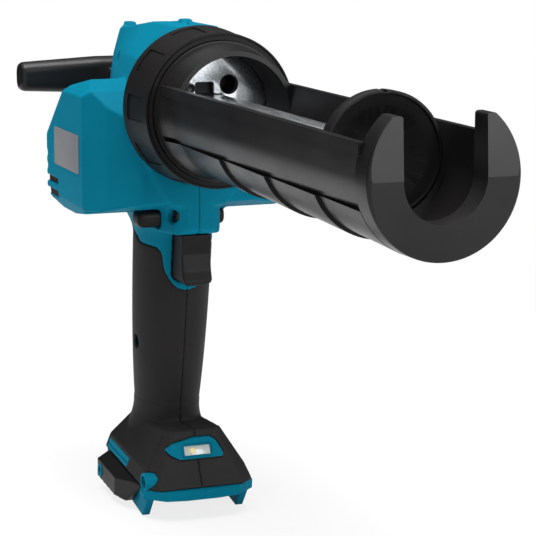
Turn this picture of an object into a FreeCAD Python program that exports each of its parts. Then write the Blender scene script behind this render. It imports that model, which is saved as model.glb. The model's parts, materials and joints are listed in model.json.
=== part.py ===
import FreeCAD, Part
import math
import os

# Cordless caulking tool, rebuilt as separate pieces. Millimetres.
# +X is forward along the rod, +Z is up, -Y is the right-hand side.
# The origin is on the rod axis at the front face of the thrust plate.

# Fits shared by the whole tool
RUN_GAP = 0.3
SEAT_GAP = 0.05
WALL = 2.5

# Cartridge holder
CARTRIDGE_R = 25.0
CARTRIDGE_ROOM = 238.0
HOLDER_INNER_R = CARTRIDGE_R + 0.7
HOLDER_WALL = 2.0
HOLDER_TOP_Z = 12.6
LIP_DEPTH = 4.3
LIP_OUT = 0.9
GROOVE_Z = -9.0
GROOVE_HIGH = 2.3
GROOVE_DEEP = 0.7
STEP_FIRST_X = 84.0
STEP_PITCH = 51.0
STEP_COUNT = 3
STEP_OUT = 1.3
ARCH_FRONT_X = 31.0
NOSE_THICK = 11.0
NOSE_R = 28.9
NOSE_ROUND = 2.0
SLOT_HALF = 15.7
HORN_TOP_Z = 21.8
HORN_ROUND = 1.2
HORN_DRAFT = 1.4
NOSE_DRAFT = 1.4

# Collar ring and the nose it is screwed on
COLLAR_REAR_X = -16.9
COLLAR_FRONT_X = 11.7
COLLAR_REAR_R = 36.0
COLLAR_FRONT_R = 34.4
COLLAR_LIP = 5.0
FLANGE_R = 32.4
HOLDER_TUBE_R = 31.0
PAD_COUNT = 10
PAD_HALF = 5.4
PAD_TURN = -2.0
PAD_DEEP = 0.7
FACE_GROOVE_R = 33.0
FACE_GROOVE_WIDE = 0.7
FACE_GROOVE_DEEP = 1.0
PLATE_R = 28.0
PLATE_THICK = 4.0
NOSE_RING_REAR_X = -17.0
SPIGOT_R = 24.0
SPIGOT_LONG = 8.0
PLATE_HOLE_R = 4.4
PLATE_HOLE_Y = 8.2
PLATE_HOLE_Z = 10.6
KEY_SLOT_Y = -7.8
KEY_SLOT_WIDE = 8.9
KEY_SLOT_TOP = 12.1
PLATE_SCREW_Y = 10.3
PLATE_SCREW_Z = 9.4
PLATE_SCREW_R = 1.4
PLATE_SCREW_HEAD_R = 2.3
PLATE_SCREW_HEAD = 1.6
KEY_SLOT_ROUND = 1.2

# Rod, rack and piston
ROD_WIDE = 9.0
ROD_HIGH = 12.6
ROD_REAR_X = -158.0
PISTON_FRONT_X = 187.0
PISTON_R = 23.5
PISTON_RISE = 2.0
PISTON_THICK = 16.0
PISTON_DISH = 5.0
PISTON_HUB_R = 9.5
PISTON_FACE_R = 18.5
PISTON_FACE_DEEP = 1.2
PISTON_RIM = 1.4
PISTON_SKIRT = 6.0
PISTON_NOTCH = 1.2
BOLT_R = 3.0
BOLT_LONG = 2.0
BOLT_HEAD_R = 6.0
BOLT_HEAD = 3.6
BOLT_SOCKET_R = 2.6
RACK_MODULE = 1.0
RACK_FROM_X = -82.0
RACK_TO_X = 124.0
HANDLE_LONG = 50.0
HANDLE_ROOT = 18.4
HANDLE_TIP = 14.4
HANDLE_DEEP = 15.0
HANDLE_CENTRE_X = -152.0
HANDLE_RISE = 2.8
HANDLE_PIN_R = 2.0
HANDLE_CHEEK = 5.0
HANDLE_ROUND = 5.0
HANDLE_TIP_ROUND = 3.0
HANDLE_TIP_TRIM = 1.5

# Drive train, all axes along Y
PRESSURE_ANGLE = math.radians(20.0)
TOOTH_TIP = 0.78
TOOTH_ROOT = 1.1
RACK_DEEP = 1.9
GEAR_MODULE = 0.8
SMALL_TEETH = 13
LARGE_TEETH = 36
RACK_TEETH = 14
MESH_SLACK = 0.12
PINION_X = -44.0
MOTOR_X = -76.0
MOTOR_Z = -29.0
SHAFT_R = 3.0
MOTOR_SHAFT_R = 1.6
OUTPUT_Y = 9.6
IDLER_Y = 15.0
GEAR_WIDE = 4.2
PLATE_IN_Y = 5.8
PLATE_IN_THICK = 2.4
PLATE_OUT_Y = 20.0
PLATE_OUT_THICK = 2.4
MOTOR_R = 14.0
MOTOR_FAR_Y = -38.0
MOTOR_CAP = 5.0
MOTOR_CAN_WALL = 1.2
MOTOR_CORE_GAP = 1.8

# Housing
BODY_HALF = 27.0
BULGE_HALF = 49.0
BODY_FRONT_X = -17.0
BODY_REAR_X = -128.0
BODY_TAPER_X = -58.0
BODY_REAR_HALF = 9.0
REAR_RIDGE_HALF = 3.5
RIDGE_HALF = 9.0
BODY_TOP_FRONT_Z = 35.4
BODY_TOP_REAR_Z = 29.2
KEEL_RISE = 8.0
NECK_Z = -59.8
NECK_HALF = 15.5
NECK_FRONT_HALF = 6.0
BULGE_FRONT_X = -19.0
BULGE_REAR_X = -112.0
BULGE_LOW_Z = -54.0
BULGE_TOP_Z = 10.0
VENT_COUNT = 4
VENT_TOP_Z = -29.5
VENT_PITCH = 6.0
VENT_HIGH = 2.6
VENT_WIDE = 13.0
VENT_LONG = 11.0
VENT_LOW_LONG = 30.0
BUMP_LONG = 8.0
BUMP_HALF = 2.6
BUMP_HIGH = 2.4
RATING_REAR_X = -86.0
RATING_FRONT_X = -44.0
RATING_LOW_Z = -33.0
RATING_TOP_Z = -15.0
RATING_THICK = 0.4
RATING_ROUND = 1.6

# Grip
GRIP_TOP_Z = -52.0
GRIP_LOW_Z = -155.0
GRIP_X = -60.5
GRIP_X_Z = -93.0
GRIP_RAKE = 0.13
GRIP_DEEP = 24.0
GRIP_HALF = 17.1
GRIP_WAIST = 0.17
GRIP_SWELL = 0.06
GRIP_TAPER = 0.05
SPREAD_FROM_Z = -67.0
SPREAD_OUT = 5.4
SPREAD_SINK = 0.3
SPREAD_STEPS = 5
SLEEVE = 1.8
CORE_WALL = 2.6

# Trigger and lock button
TRIGGER_FRONT_X = -19.0
TRIGGER_LONG = 34.0
TRIGGER_TOP_Z = -60.2
TRIGGER_HIGH = 24.0
TRIGGER_HALF = 7.1
TRIGGER_PULL = 6.0
TRIGGER_ROUND = 2.5
TRIGGER_CORNER = 4.0
PLUNGER_R = 2.0
PLUNGER_DROP = 12.0
SWITCH_LONG = 14.0
SWITCH_HIGH = 18.0
LOCK_X = -36.0
LOCK_Z = -53.6
LOCK_LONG = 11.0
LOCK_HIGH = 8.0
LOCK_OUT = 9.5
LOCK_FAR = 2.0
LOCK_ROUND = 2.5

# Foot
FOOT_TOP_Z = -156.0
FOOT_MID_Z = -169.0
FOOT_LOW_Z = -176.0
FOOT_FRONT_X = -12.5
FOOT_REAR_X = -88.0
FOOT_HALF = 27.0
FOOT_TOP_HALF = 13.0
FOOT_BROW_HALF = 13.8
FOOT_MID_HALF = 24.4
FOOT_ROOF_DROP = 3.5
FOOT_ROUND = 2.5
FOOT_TILT = 4.0
FOOT_BACK_TOP = 14.0
FOOT_BACK_MID = 4.5
RAIL_HALF = 21.5
RAIL_THICK = 3.6
RAIL_LOW_Z = -191.5
STRIP_LOW_Z = -180.5
FLOOR_THICK = 1.5
HOOK_HOLE_R = 2.0
HOOK_HOLE_Z = -184.6
HOOK_BLOCK_BACK = 10.0
HOOK_BLOCK_LONG = 29.0
HOOK_BLOCK_FAIR = 23.0
HOOK_BLOCK_DROP = 8.5
HOOK_BLOCK_SLOPE = 3.8
HOOK_BLOCK_OUT = 5.0
HOOK_BLOCK_HOLE = 5.0
BOSS_R = 4.5
BOSS_HOLE_R = 3.3
BOSS_X = -21.5
BOSS_Z = -173.6
BOSS_SINK = 0.6
BOSS_HOLE_DEEP = 8.0
SIDE_PANEL_THICK = 1.2
PANEL_GROOVE = 0.8
PANEL_GROOVE_UP = 1.3
BROW_HIGH = 4.5
FLARE_OUT = 6.0
FLARE_HIGH = 9.0
FLARE_SUNK = 8.0
FLARE_STEP = 0.3
BEZEL_HALF = 12.6
BEZEL_TIP = 15.4
BEZEL_TOP_Z = -154.8
BEZEL_LOW_Z = -163.4
BEZEL_OUT = 0.9
LENS_HALF = 6.4
LENS_TOP_Z = -158.0
LENS_LOW_Z = -162.0

# Screws and electrics
SCREW_R = 1.8
SCREW_HEAD_R = 3.2
SCREW_HEAD = 2.4
SCREW_SINK = 3.0
SCREW_CROSS = 2.2
POST_R = 3.8
BOARD_THICK = 1.6
TERMINAL_LONG = 16.0
TERMINAL_HALF = 14.0
TERMINAL_HIGH = 5.0
TERMINAL_SLOTS = 4
TERMINAL_PITCH = 6.0
TERMINAL_SLOT = 1.2

os.makedirs("parts", exist_ok=True)


def vec(x, y, z):
    return FreeCAD.Vector(x, y, z)


def box(x0, x1, y0, y1, z0, z1):
    return Part.makeBox(x1 - x0, y1 - y0, z1 - z0, vec(x0, y0, z0))


def cyl_x(x0, x1, radius, y=0.0, z=0.0):
    return Part.makeCylinder(radius, x1 - x0, vec(x0, y, z), vec(1, 0, 0))


def cyl_y(y0, y1, radius, x, z):
    return Part.makeCylinder(radius, y1 - y0, vec(x, y0, z), vec(0, 1, 0))


def cone_x(x0, x1, r0, r1):
    return Part.makeCone(r0, r1, x1 - x0, vec(x0, 0, 0), vec(1, 0, 0))


def side_block(points, y0, y1, inset=0.0):
    # A closed outline in the side view, drawn out along Y
    wire = Part.makePolygon([vec(x, y0, z) for x, z in points + points[:1]])
    if inset > 0.0:
        wire = wire.makeOffset2D(-inset)
    return Part.Face(wire).extrude(vec(0, y1 - y0, 0))


def plan_block(points, z0, z1, inset=0.0):
    # A closed outline seen from above, drawn out along Z
    wire = Part.makePolygon([vec(x, y, z0) for x, y in points + points[:1]])
    if inset > 0.0:
        wire = wire.makeOffset2D(-inset)
    return Part.Face(wire).extrude(vec(0, 0, z1 - z0))


def front_block(points, x0, x1, inset=0.0):
    # A closed outline seen from the front, drawn out along X
    wire = Part.makePolygon([vec(x0, y, z) for y, z in points + points[:1]])
    if inset > 0.0:
        wire = wire.makeOffset2D(-inset)
    return Part.Face(wire).extrude(vec(x1 - x0, 0, 0))


def mirrored(points):
    # Completes a front or plan outline given for the +Y half only
    other = [(-y, z) for y, z in reversed(points)]
    return points + other


def mirrored_plan(points):
    other = [(x, -y) for x, y in reversed(points)]
    return points + other


def rounded(shape, radius, wanted):
    # Rounds the edges picked by the test, or leaves the shape as it was
    edges = [edge for edge in shape.Edges if wanted(edge)]
    if not edges:
        return shape
    try:
        result = shape.makeFillet(radius, edges)
    except Part.OCCError:
        return shape
    if result.isNull() or not result.isValid():
        return shape
    return result


def edge_middle(edge):
    return edge.valueAt((edge.FirstParameter + edge.LastParameter) / 2.0)


def tilt_foot(shape):
    # The foot is pitched nose-down about the middle of its top
    turned = shape.copy()
    turned.rotate(vec(GRIP_X, 0, FOOT_TOP_Z), vec(0, 1, 0), FOOT_TILT)
    return turned


def save(name, shape):
    shape = shape.removeSplitter()
    solids = shape.Solids
    if len(solids) == 1:
        shape = solids[0]
    print(name, len(solids), shape.isValid(), round(shape.Volume, 1))
    shape.exportStep("parts/" + name + ".step")


def gear_blank(module, teeth, width, phase):
    # Spur gear drawn along +Y from y = 0, one tooth centred on the phase
    pitch_r = module * teeth / 2.0
    base_r = pitch_r * math.cos(PRESSURE_ANGLE)
    tip_r = pitch_r + TOOTH_TIP * module
    root_r = pitch_r - TOOTH_ROOT * module
    spread = math.tan(PRESSURE_ANGLE) - PRESSURE_ANGLE
    half_pitch = (math.pi * module / 2.0 - MESH_SLACK) / (2.0 * pitch_r)
    points = []
    for tooth in range(teeth):
        centre = phase + 2.0 * math.pi * tooth / teeth
        flank = []
        for step in range(5):
            radius = max(base_r, root_r) + (tip_r - max(base_r, root_r)) * step / 4.0
            roll = math.sqrt(max(radius * radius / (base_r * base_r) - 1.0, 0.0))
            angle = half_pitch + spread - (roll - math.atan(roll))
            flank.append((radius, angle))
        foot_angle = flank[0][1]
        left = [(root_r, foot_angle)] + flank
        right = [(radius, -angle) for radius, angle in reversed(left)]
        if base_r <= root_r:
            left = flank
            right = [(radius, -angle) for radius, angle in reversed(left)]
        for radius, angle in reversed(right):
            points.append((radius, centre + angle))
        for radius, angle in reversed(left):
            points.append((radius, centre + angle))
    corners = [vec(r * math.cos(a), 0, r * math.sin(a)) for r, a in points]
    wire = Part.makePolygon(corners + corners[:1])
    return Part.Face(wire).extrude(vec(0, width, 0))


def gear_at(module, teeth, width, phase, x, y, z):
    gear = gear_blank(module, teeth, width, phase)
    gear.translate(vec(x, y, z))
    return gear


# Places of the drive axes, worked out from the tooth numbers
RACK_LINE_Z = -ROD_HIGH / 2.0 + TOOTH_TIP * RACK_MODULE
RACK_PITCH_R = RACK_MODULE * RACK_TEETH / 2.0
PINION_Z = RACK_LINE_Z - RACK_PITCH_R - MESH_SLACK / 2.0
GEAR_SPAN = GEAR_MODULE * (SMALL_TEETH + LARGE_TEETH) / 2.0 + MESH_SLACK / 2.0
DRIVE_DX = MOTOR_X - PINION_X
DRIVE_DZ = MOTOR_Z - PINION_Z
DRIVE_LONG = math.hypot(DRIVE_DX, DRIVE_DZ)
IDLER_OFF = math.sqrt(GEAR_SPAN * GEAR_SPAN - DRIVE_LONG * DRIVE_LONG / 4.0)
IDLER_X = (PINION_X + MOTOR_X) / 2.0 + IDLER_OFF * DRIVE_DZ / DRIVE_LONG
IDLER_Z = (PINION_Z + MOTOR_Z) / 2.0 - IDLER_OFF * DRIVE_DX / DRIVE_LONG
PLATE_REAR_X = -PLATE_THICK
NOSE_RING_FRONT_X = -0.7
FLANGE_FRONT_X = COLLAR_FRONT_X - COLLAR_LIP - SEAT_GAP
HOLDER_END_X = CARTRIDGE_ROOM


# Housing forms

def body_section(x, half, shoulder, ridge, low, side_top, bend, top, inset):
    points = mirrored([
        (half * 0.48, low), (half * 0.76, low * 0.78), (half, low * 0.46), (half, side_top), (shoulder, bend),
        (ridge, top)])
    wire = Part.makePolygon([vec(x, y, z) for y, z in points + points[:1]])
    if inset > 0.0:
        wire = wire.makeOffset2D(-inset)
    return wire


def front_section(x, inset):
    return body_section(x, BODY_HALF, BODY_HALF - 6.0, RIDGE_HALF, BULGE_LOW_Z + KEEL_RISE,
                        4.0, 20.0, BODY_TOP_FRONT_Z, inset)


def centre_form(inset):
    # A straight front length, then a taper to a narrow rear end
    rear = body_section(BODY_REAR_X + inset, BODY_REAR_HALF, BODY_REAR_HALF - 2.0, REAR_RIDGE_HALF,
                        -14.0, 2.0, 16.0, BODY_TOP_REAR_Z - 1.0, inset)
    straight = Part.makeLoft([front_section(BODY_FRONT_X - inset, inset),
                              front_section(BODY_TAPER_X, inset)], True, True)
    taper = Part.makeLoft([front_section(BODY_TAPER_X, inset), rear], True, True)
    return straight.fuse(taper).removeSplitter()


def neck_form(inset):
    # Rounded column between the body and the grip
    plan = mirrored_plan([
        (BODY_FRONT_X, NECK_FRONT_HALF),
        (BODY_FRONT_X - 4.0, NECK_FRONT_HALF + 5.0),
        (BODY_FRONT_X - 16.0, NECK_HALF),
        (BODY_REAR_X + 58.0, NECK_HALF),
        (BODY_REAR_X + 40.0, NECK_HALF - 6.0),
    ])
    side = [
        (BODY_FRONT_X, -20.0),
        (BODY_FRONT_X, NECK_Z + 2.5),
        (BODY_FRONT_X - 3.0, NECK_Z),
        (BODY_REAR_X + 46.0, NECK_Z),
        (BODY_REAR_X + 32.0, BULGE_LOW_Z + 2.0),
        (BODY_REAR_X + 32.0, -20.0),
    ]
    form = plan_block(plan, -80, -20, inset)
    return form.common(side_block(side, -60, 60, inset))


def bulge_form(inset):
    side = [
        (BULGE_FRONT_X, -9.0),
        (BULGE_FRONT_X - 16.0, BULGE_TOP_Z - 4.0),
        (BULGE_FRONT_X - 32.0, BULGE_TOP_Z),
        (BULGE_FRONT_X - 50.0, BULGE_TOP_Z - 4.0),
        (BULGE_REAR_X + 2.0, -26.0),
        (BULGE_REAR_X, -33.0),
        (BULGE_REAR_X + 3.0, -42.0),
        (BULGE_REAR_X + 13.0, BULGE_LOW_Z + 3.0),
        (BULGE_REAR_X + 28.0, BULGE_LOW_Z),
        (BULGE_REAR_X + 50.0, BULGE_LOW_Z),
        (BULGE_FRONT_X - 17.0, BULGE_LOW_Z + 3.5),
        (BULGE_FRONT_X, BULGE_LOW_Z + 9.0),
    ]
    plan = mirrored_plan([
        (BULGE_FRONT_X, BODY_HALF),
        (BULGE_FRONT_X - 9.0, BULGE_HALF - 8.5),
        (BULGE_FRONT_X - 21.0, BULGE_HALF),
        (BULGE_REAR_X + 10.0, BULGE_HALF),
        (BULGE_REAR_X, BULGE_HALF - 9.0),
    ])
    front = mirrored([
        (BULGE_HALF - 3.0, BULGE_LOW_Z),
        (BULGE_HALF, BULGE_LOW_Z + 6.0),
        (BULGE_HALF, BULGE_TOP_Z - 7.0),
        (BULGE_HALF - 8.0, BULGE_TOP_Z),
    ])
    form = side_block(side, -60, 60, inset)
    form = form.common(plan_block(plan, -80, 60, inset))
    return form.common(front_block(front, -160, 20, inset))


def grip_centre(z):
    return GRIP_X - GRIP_RAKE * (GRIP_X_Z - z)


def grip_oval(z, out):
    # One level section of the grip, slimmer towards the bottom
    level = (GRIP_TOP_Z - z) / (GRIP_TOP_Z - GRIP_LOW_Z)
    slim = GRIP_SWELL - GRIP_TAPER * level - GRIP_WAIST * level ** 3
    deep = GRIP_DEEP * (1.0 + slim) + out
    half = GRIP_HALF * (1.0 + slim) + out
    return Part.Wire(Part.Ellipse(vec(grip_centre(z), 0, z), deep, half).toShape())


def grip_spread(inset):
    # The grip widens under the body
    wires = []
    for step in range(SPREAD_STEPS + 1):
        share = step / SPREAD_STEPS
        z = SPREAD_FROM_Z + (GRIP_TOP_Z - SPREAD_FROM_Z) * share
        wires.append(grip_oval(z, SPREAD_OUT * share * share - SPREAD_SINK - inset))
    return Part.makeLoft(wires, True, True)


def grip_form(inset, z_top, z_low):
    levels = [z_top + (z_low - z_top) * share for share in (0.0, 0.25, 0.5, 0.75, 1.0)]
    form = Part.makeLoft([grip_oval(z, -inset) for z in levels], True, False)
    return form.fuse(grip_spread(inset))


def teal_region(y0, y1):
    # The hard front-upper corner of the grip around the trigger
    low = TRIGGER_TOP_Z - TRIGGER_HIGH
    points = [
        (GRIP_X - 34.0, GRIP_TOP_Z + 2.0),
        (GRIP_X - 6.0, GRIP_TOP_Z - 7.0),
        (GRIP_X + 8.0, GRIP_TOP_Z - 15.4),
        (GRIP_X + 19.6, GRIP_TOP_Z - 16.4),
        (GRIP_X + 21.6, GRIP_TOP_Z - 18.6),
        (GRIP_X + 21.8, low + 5.7),
        (GRIP_X + 23.0, low + 0.5),
        (GRIP_X + 24.4, low - 3.9),
        (GRIP_X + 26.0, low - 4.9),
        (GRIP_X + 50.0, low - 4.9),
        (GRIP_X + 50.0, GRIP_TOP_Z + 12.0),
        (GRIP_X - 34.0, GRIP_TOP_Z + 12.0),
    ]
    return side_block(points, y0, y1)


def trigger_bar(gap, x0, x1):
    # The trigger's section, rounded along its two lower edges
    half = TRIGGER_HALF + gap
    low = TRIGGER_TOP_Z - TRIGGER_HIGH - gap
    form = box(x0, x1, -half, half, low, TRIGGER_TOP_Z + gap)
    return rounded(form, TRIGGER_CORNER + gap, lambda edge: edge_middle(edge).z < low + 0.1
                   and abs(edge.tangentAt(edge.FirstParameter).x) > 0.9)


def trigger_room():
    rear = TRIGGER_FRONT_X - TRIGGER_LONG - TRIGGER_PULL - RUN_GAP
    return trigger_bar(RUN_GAP, rear, 0.0)


def lock_form(gap, y0, y1):
    form = box(LOCK_X - LOCK_LONG / 2.0 - gap, LOCK_X + LOCK_LONG / 2.0 + gap,
               y0, y1, LOCK_Z - LOCK_HIGH / 2.0 - gap, LOCK_Z + LOCK_HIGH / 2.0 + gap)
    return rounded(form, LOCK_ROUND + gap, lambda edge: abs(edge.tangentAt(edge.FirstParameter).y) > 0.9)


def rod_room(gap, x0, x1):
    half = ROD_WIDE / 2.0 + gap
    high = ROD_HIGH / 2.0 + gap
    return box(x0, x1, -half, half, -high, high)


def top_bump(x0):
    bump = box(x0, x0 + BUMP_LONG, -BUMP_HALF, BUMP_HALF, BODY_TOP_REAR_Z - 4.0, BODY_TOP_FRONT_Z + BUMP_HIGH)
    slope = (BODY_TOP_FRONT_Z - BODY_TOP_REAR_Z) / 62.0
    top = BODY_TOP_FRONT_Z + BUMP_HIGH + slope * min(x0 + BUMP_LONG / 2.0 + 50.0, 0.0)
    lid = side_block([(x0, 0.0), (x0, top - 1.0), (x0 + 2.0, top), (x0 + BUMP_LONG - 2.0, top),
                      (x0 + BUMP_LONG, top - 1.0), (x0 + BUMP_LONG, 0.0)], -BUMP_HALF, BUMP_HALF)
    return bump.common(lid)


def vent_slots():
    slots = []
    for index in range(VENT_COUNT):
        z = VENT_TOP_Z - VENT_PITCH * index
        long = VENT_LONG if index < VENT_COUNT // 2 else VENT_LOW_LONG
        for y0 in (-BULGE_HALF - 1.0, BULGE_HALF + 1.0 - VENT_WIDE):
            slots.append(box(BULGE_REAR_X - 2.0, BULGE_REAR_X + long, y0, y0 + VENT_WIDE,
                             z - VENT_HIGH / 2.0, z + VENT_HIGH / 2.0))
    return slots


def screw_places():
    # Axis x and z of each housing screw and the half width of the shell there
    return [(-23.0, -51.0, 13.0), (-100.0, 15.0, 12.0), (-63.0, -117.4, 16.0)]


def housing_room():
    return centre_form(WALL).fuse(bulge_form(WALL)).fuse(neck_form(WALL))


def housing_whole():
    form = centre_form(0.0).fuse(bulge_form(0.0)).fuse(neck_form(0.0))
    form = form.fuse(top_bump(BODY_REAR_X + 2.0)).fuse(top_bump(-40.0))
    core = grip_form(SLEEVE, GRIP_TOP_Z, GRIP_LOW_Z)
    teal = grip_form(0.0, GRIP_TOP_Z, GRIP_LOW_Z).common(teal_region(-30, 30))
    form = form.fuse(core).fuse(teal)
    form = form.cut(housing_room())
    form = form.cut(grip_form(SLEEVE + CORE_WALL, GRIP_TOP_Z + 8.0, GRIP_LOW_Z - 1.0))
    form = form.cut(trigger_room())
    form = form.cut(lock_form(RUN_GAP, -60.0, 60.0))
    form = form.cut(rod_room(RUN_GAP + 0.4, -200.0, -100.0))
    form = form.cut(cyl_x(BODY_FRONT_X - SPIGOT_LONG, 5.0, SPIGOT_R))
    for slot in vent_slots():
        form = form.cut(slot)
    outline = centre_form(0.0).fuse(bulge_form(0.0)).fuse(neck_form(0.0))
    outline = outline.fuse(grip_form(SLEEVE, GRIP_TOP_Z, GRIP_LOW_Z))
    for x, z, half in screw_places():
        post = cyl_y(-60.0, 60.0, POST_R, x, z).common(outline)
        form = form.fuse(post.cut(trigger_room()))
    for x, z, half in screw_places():
        form = form.cut(screw_hole(x, z, half))
    return form


def screw_hole(x, z, half):
    # Counterbored from the right-hand side, blind in the left half
    hole = cyl_y(-half - 20.0, half - SCREW_SINK, SCREW_R, x, z)
    return hole.fuse(cyl_y(-half - 20.0, -half + SCREW_SINK + SCREW_HEAD, SCREW_HEAD_R, x, z))


def housing_screw(x, z, half):
    face = -half + SCREW_SINK
    form = cyl_y(face, half - SCREW_SINK, SCREW_R, x, z)
    head = cyl_y(face, face + SCREW_HEAD, SCREW_HEAD_R, x, z)
    slot = box(x - SCREW_CROSS, x + SCREW_CROSS, face - 1.0, face + 0.9, z - 0.5, z + 0.5)
    cross = box(x - 0.5, x + 0.5, face - 1.0, face + 0.9, z - SCREW_CROSS, z + SCREW_CROSS)
    return form.fuse(head).cut(slot).cut(cross)


def half_of(whole, sign):
    # Keeps what lies on one side of the parting plane
    keep = box(-300, 100, min(sign * 100, 0), max(sign * 100, 0), -300, 100)
    return whole.common(keep)


def grip_skin():
    # The soft skin of the grip and the foot, moulded on in one piece
    form = grip_form(0.0, GRIP_TOP_Z, GRIP_LOW_Z)
    form = form.fuse(foot_flare()).fuse(tilt_foot(foot_cover()))
    form = form.cut(grip_form(SLEEVE, GRIP_TOP_Z, GRIP_LOW_Z)).cut(tilt_foot(foot_room()))
    form = form.cut(teal_region(-30, 30))
    form = form.cut(centre_form(0.0)).cut(bulge_form(0.0)).cut(neck_form(0.0))
    form = form.cut(trigger_room())
    form = form.cut(lock_form(RUN_GAP, -60.0, 60.0))
    for x, z, half in screw_places():
        form = form.cut(screw_hole(x, z, half))
    return form


# Front end

def collar_ring():
    form = cone_x(COLLAR_REAR_X, COLLAR_FRONT_X, COLLAR_REAR_R, COLLAR_FRONT_R)
    lip_x = COLLAR_FRONT_X - COLLAR_LIP
    form = form.cut(cyl_x(COLLAR_REAR_X - 1.0, lip_x, FLANGE_R + RUN_GAP))
    form = form.cut(cyl_x(lip_x - 1.0, COLLAR_FRONT_X + 1.0, HOLDER_TUBE_R + RUN_GAP))
    band = cone_x(COLLAR_REAR_X + 5.0, COLLAR_FRONT_X - 5.0, COLLAR_REAR_R + 2.0, COLLAR_FRONT_R + 2.0)
    floor = cone_x(COLLAR_REAR_X, COLLAR_FRONT_X, COLLAR_REAR_R - PAD_DEEP, COLLAR_FRONT_R - PAD_DEEP)
    band = band.cut(floor)
    for index in range(PAD_COUNT):
        turn = PAD_TURN + 360.0 * index / PAD_COUNT
        wedge = box(COLLAR_REAR_X, COLLAR_FRONT_X, -PAD_HALF, PAD_HALF, 0.0, COLLAR_REAR_R + 5.0)
        wedge.rotate(vec(0, 0, 0), vec(1, 0, 0), turn)
        band = band.cut(wedge)
    groove = cyl_x(COLLAR_FRONT_X - FACE_GROOVE_DEEP, COLLAR_FRONT_X + 1.0, FACE_GROOVE_R + FACE_GROOVE_WIDE)
    groove = groove.cut(cyl_x(COLLAR_REAR_X, COLLAR_FRONT_X + 2.0, FACE_GROOVE_R))
    return form.cut(band).cut(groove)


def nose_ring():
    form = cyl_x(NOSE_RING_REAR_X, NOSE_RING_FRONT_X, FLANGE_R)
    form = form.cut(cyl_x(PLATE_REAR_X, 1.0, PLATE_R + SEAT_GAP))
    form = form.fuse(cyl_x(BODY_FRONT_X - SPIGOT_LONG, NOSE_RING_REAR_X, SPIGOT_R))
    form = form.cut(cyl_x(NOSE_RING_REAR_X, 1.0, PLATE_HOLE_R, PLATE_HOLE_Y, PLATE_HOLE_Z))
    return form.cut(rod_room(5.0, -40.0, 1.0))


def front_bush():
    form = rod_room(5.0, BODY_FRONT_X - SPIGOT_LONG, PLATE_REAR_X)
    form = form.cut(cyl_x(NOSE_RING_REAR_X, 1.0, PLATE_HOLE_R, PLATE_HOLE_Y, PLATE_HOLE_Z))
    return form.cut(rod_room(RUN_GAP, -60.0, 5.0))


def rear_bush():
    room = centre_form(WALL)
    form = box(BODY_REAR_X + WALL + 0.0, BODY_REAR_X + 16.0, -60.0, 60.0, -10.0, 12.0)
    form = form.common(room)
    return form.cut(rod_room(RUN_GAP, -200.0, 0.0))


def thrust_plate():
    form = cyl_x(PLATE_REAR_X, 0.0, PLATE_R)
    form = form.cut(rod_room(RUN_GAP + 0.2, -10.0, 1.0))
    form = form.cut(cyl_x(-10.0, 1.0, PLATE_HOLE_R, PLATE_HOLE_Y, PLATE_HOLE_Z))
    slot = box(-10.0, 1.0, KEY_SLOT_Y, KEY_SLOT_Y + KEY_SLOT_WIDE, 0.0, KEY_SLOT_TOP)
    slot = rounded(slot, KEY_SLOT_ROUND, lambda edge: edge_middle(edge).z > KEY_SLOT_TOP - 0.1
                   and abs(edge.tangentAt(edge.FirstParameter).x) > 0.9)
    form = form.cut(slot)
    for sign in (-1, 1):
        form = form.cut(cyl_x(-10.0, 1.0, PLATE_SCREW_R, sign * PLATE_SCREW_Y, -sign * PLATE_SCREW_Z))
    return form


def thrust_screw(sign):
    y = sign * PLATE_SCREW_Y
    z = -sign * PLATE_SCREW_Z
    form = cyl_x(PLATE_REAR_X, 0.0, PLATE_SCREW_R, y, z)
    form = form.fuse(cyl_x(0.0, PLATE_SCREW_HEAD, PLATE_SCREW_HEAD_R, y, z))
    return form.cut(cyl_x(PLATE_SCREW_HEAD / 2.0, PLATE_SCREW_HEAD + 1.0, PLATE_SCREW_R, y, z))


def trough_section(radius, top_z, x0, x1):
    # U section: half circle below the axis, straight sides above it
    lower = cyl_x(x0, x1, radius).common(box(x0, x1, -radius, radius, -radius, 0.0))
    upper = box(x0, x1, -radius, radius, 0.0, top_z)
    return lower.fuse(upper)


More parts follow.
